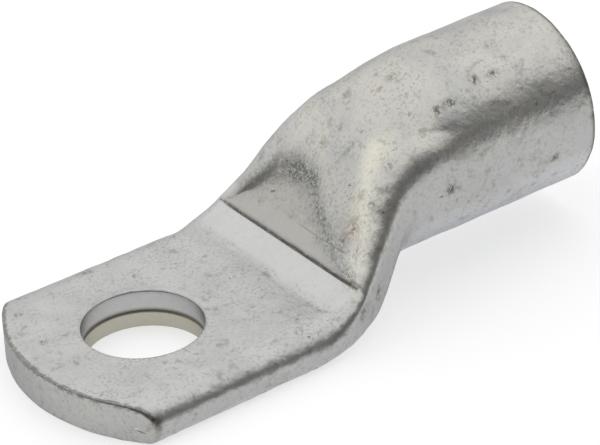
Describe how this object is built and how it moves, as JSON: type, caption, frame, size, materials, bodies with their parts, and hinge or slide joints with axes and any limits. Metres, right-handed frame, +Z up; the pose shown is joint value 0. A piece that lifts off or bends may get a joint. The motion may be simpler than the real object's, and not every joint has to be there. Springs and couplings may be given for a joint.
{
  "type": "tubular cable lug",
  "caption": "Tinned tube lug with a flat pressed palm and stud hole at one end and a round open barrel for a conductor at the other.",
  "frame": {"origin": "on the stud hole's axis at the palm's underside", "axes": "+X from the palm to the barrel's open mouth, +Z up through the palm along the stud hole, +Y across the palm"},
  "size_m": [0.0536, 0.0238, 0.0182],
  "materials": {
    "tinned_copper": "tin-plated, satin, mottled by handling"
  },
  "bodies": {
    "root": {"lug": "tinned_copper"}
  },
  "joints": []
}
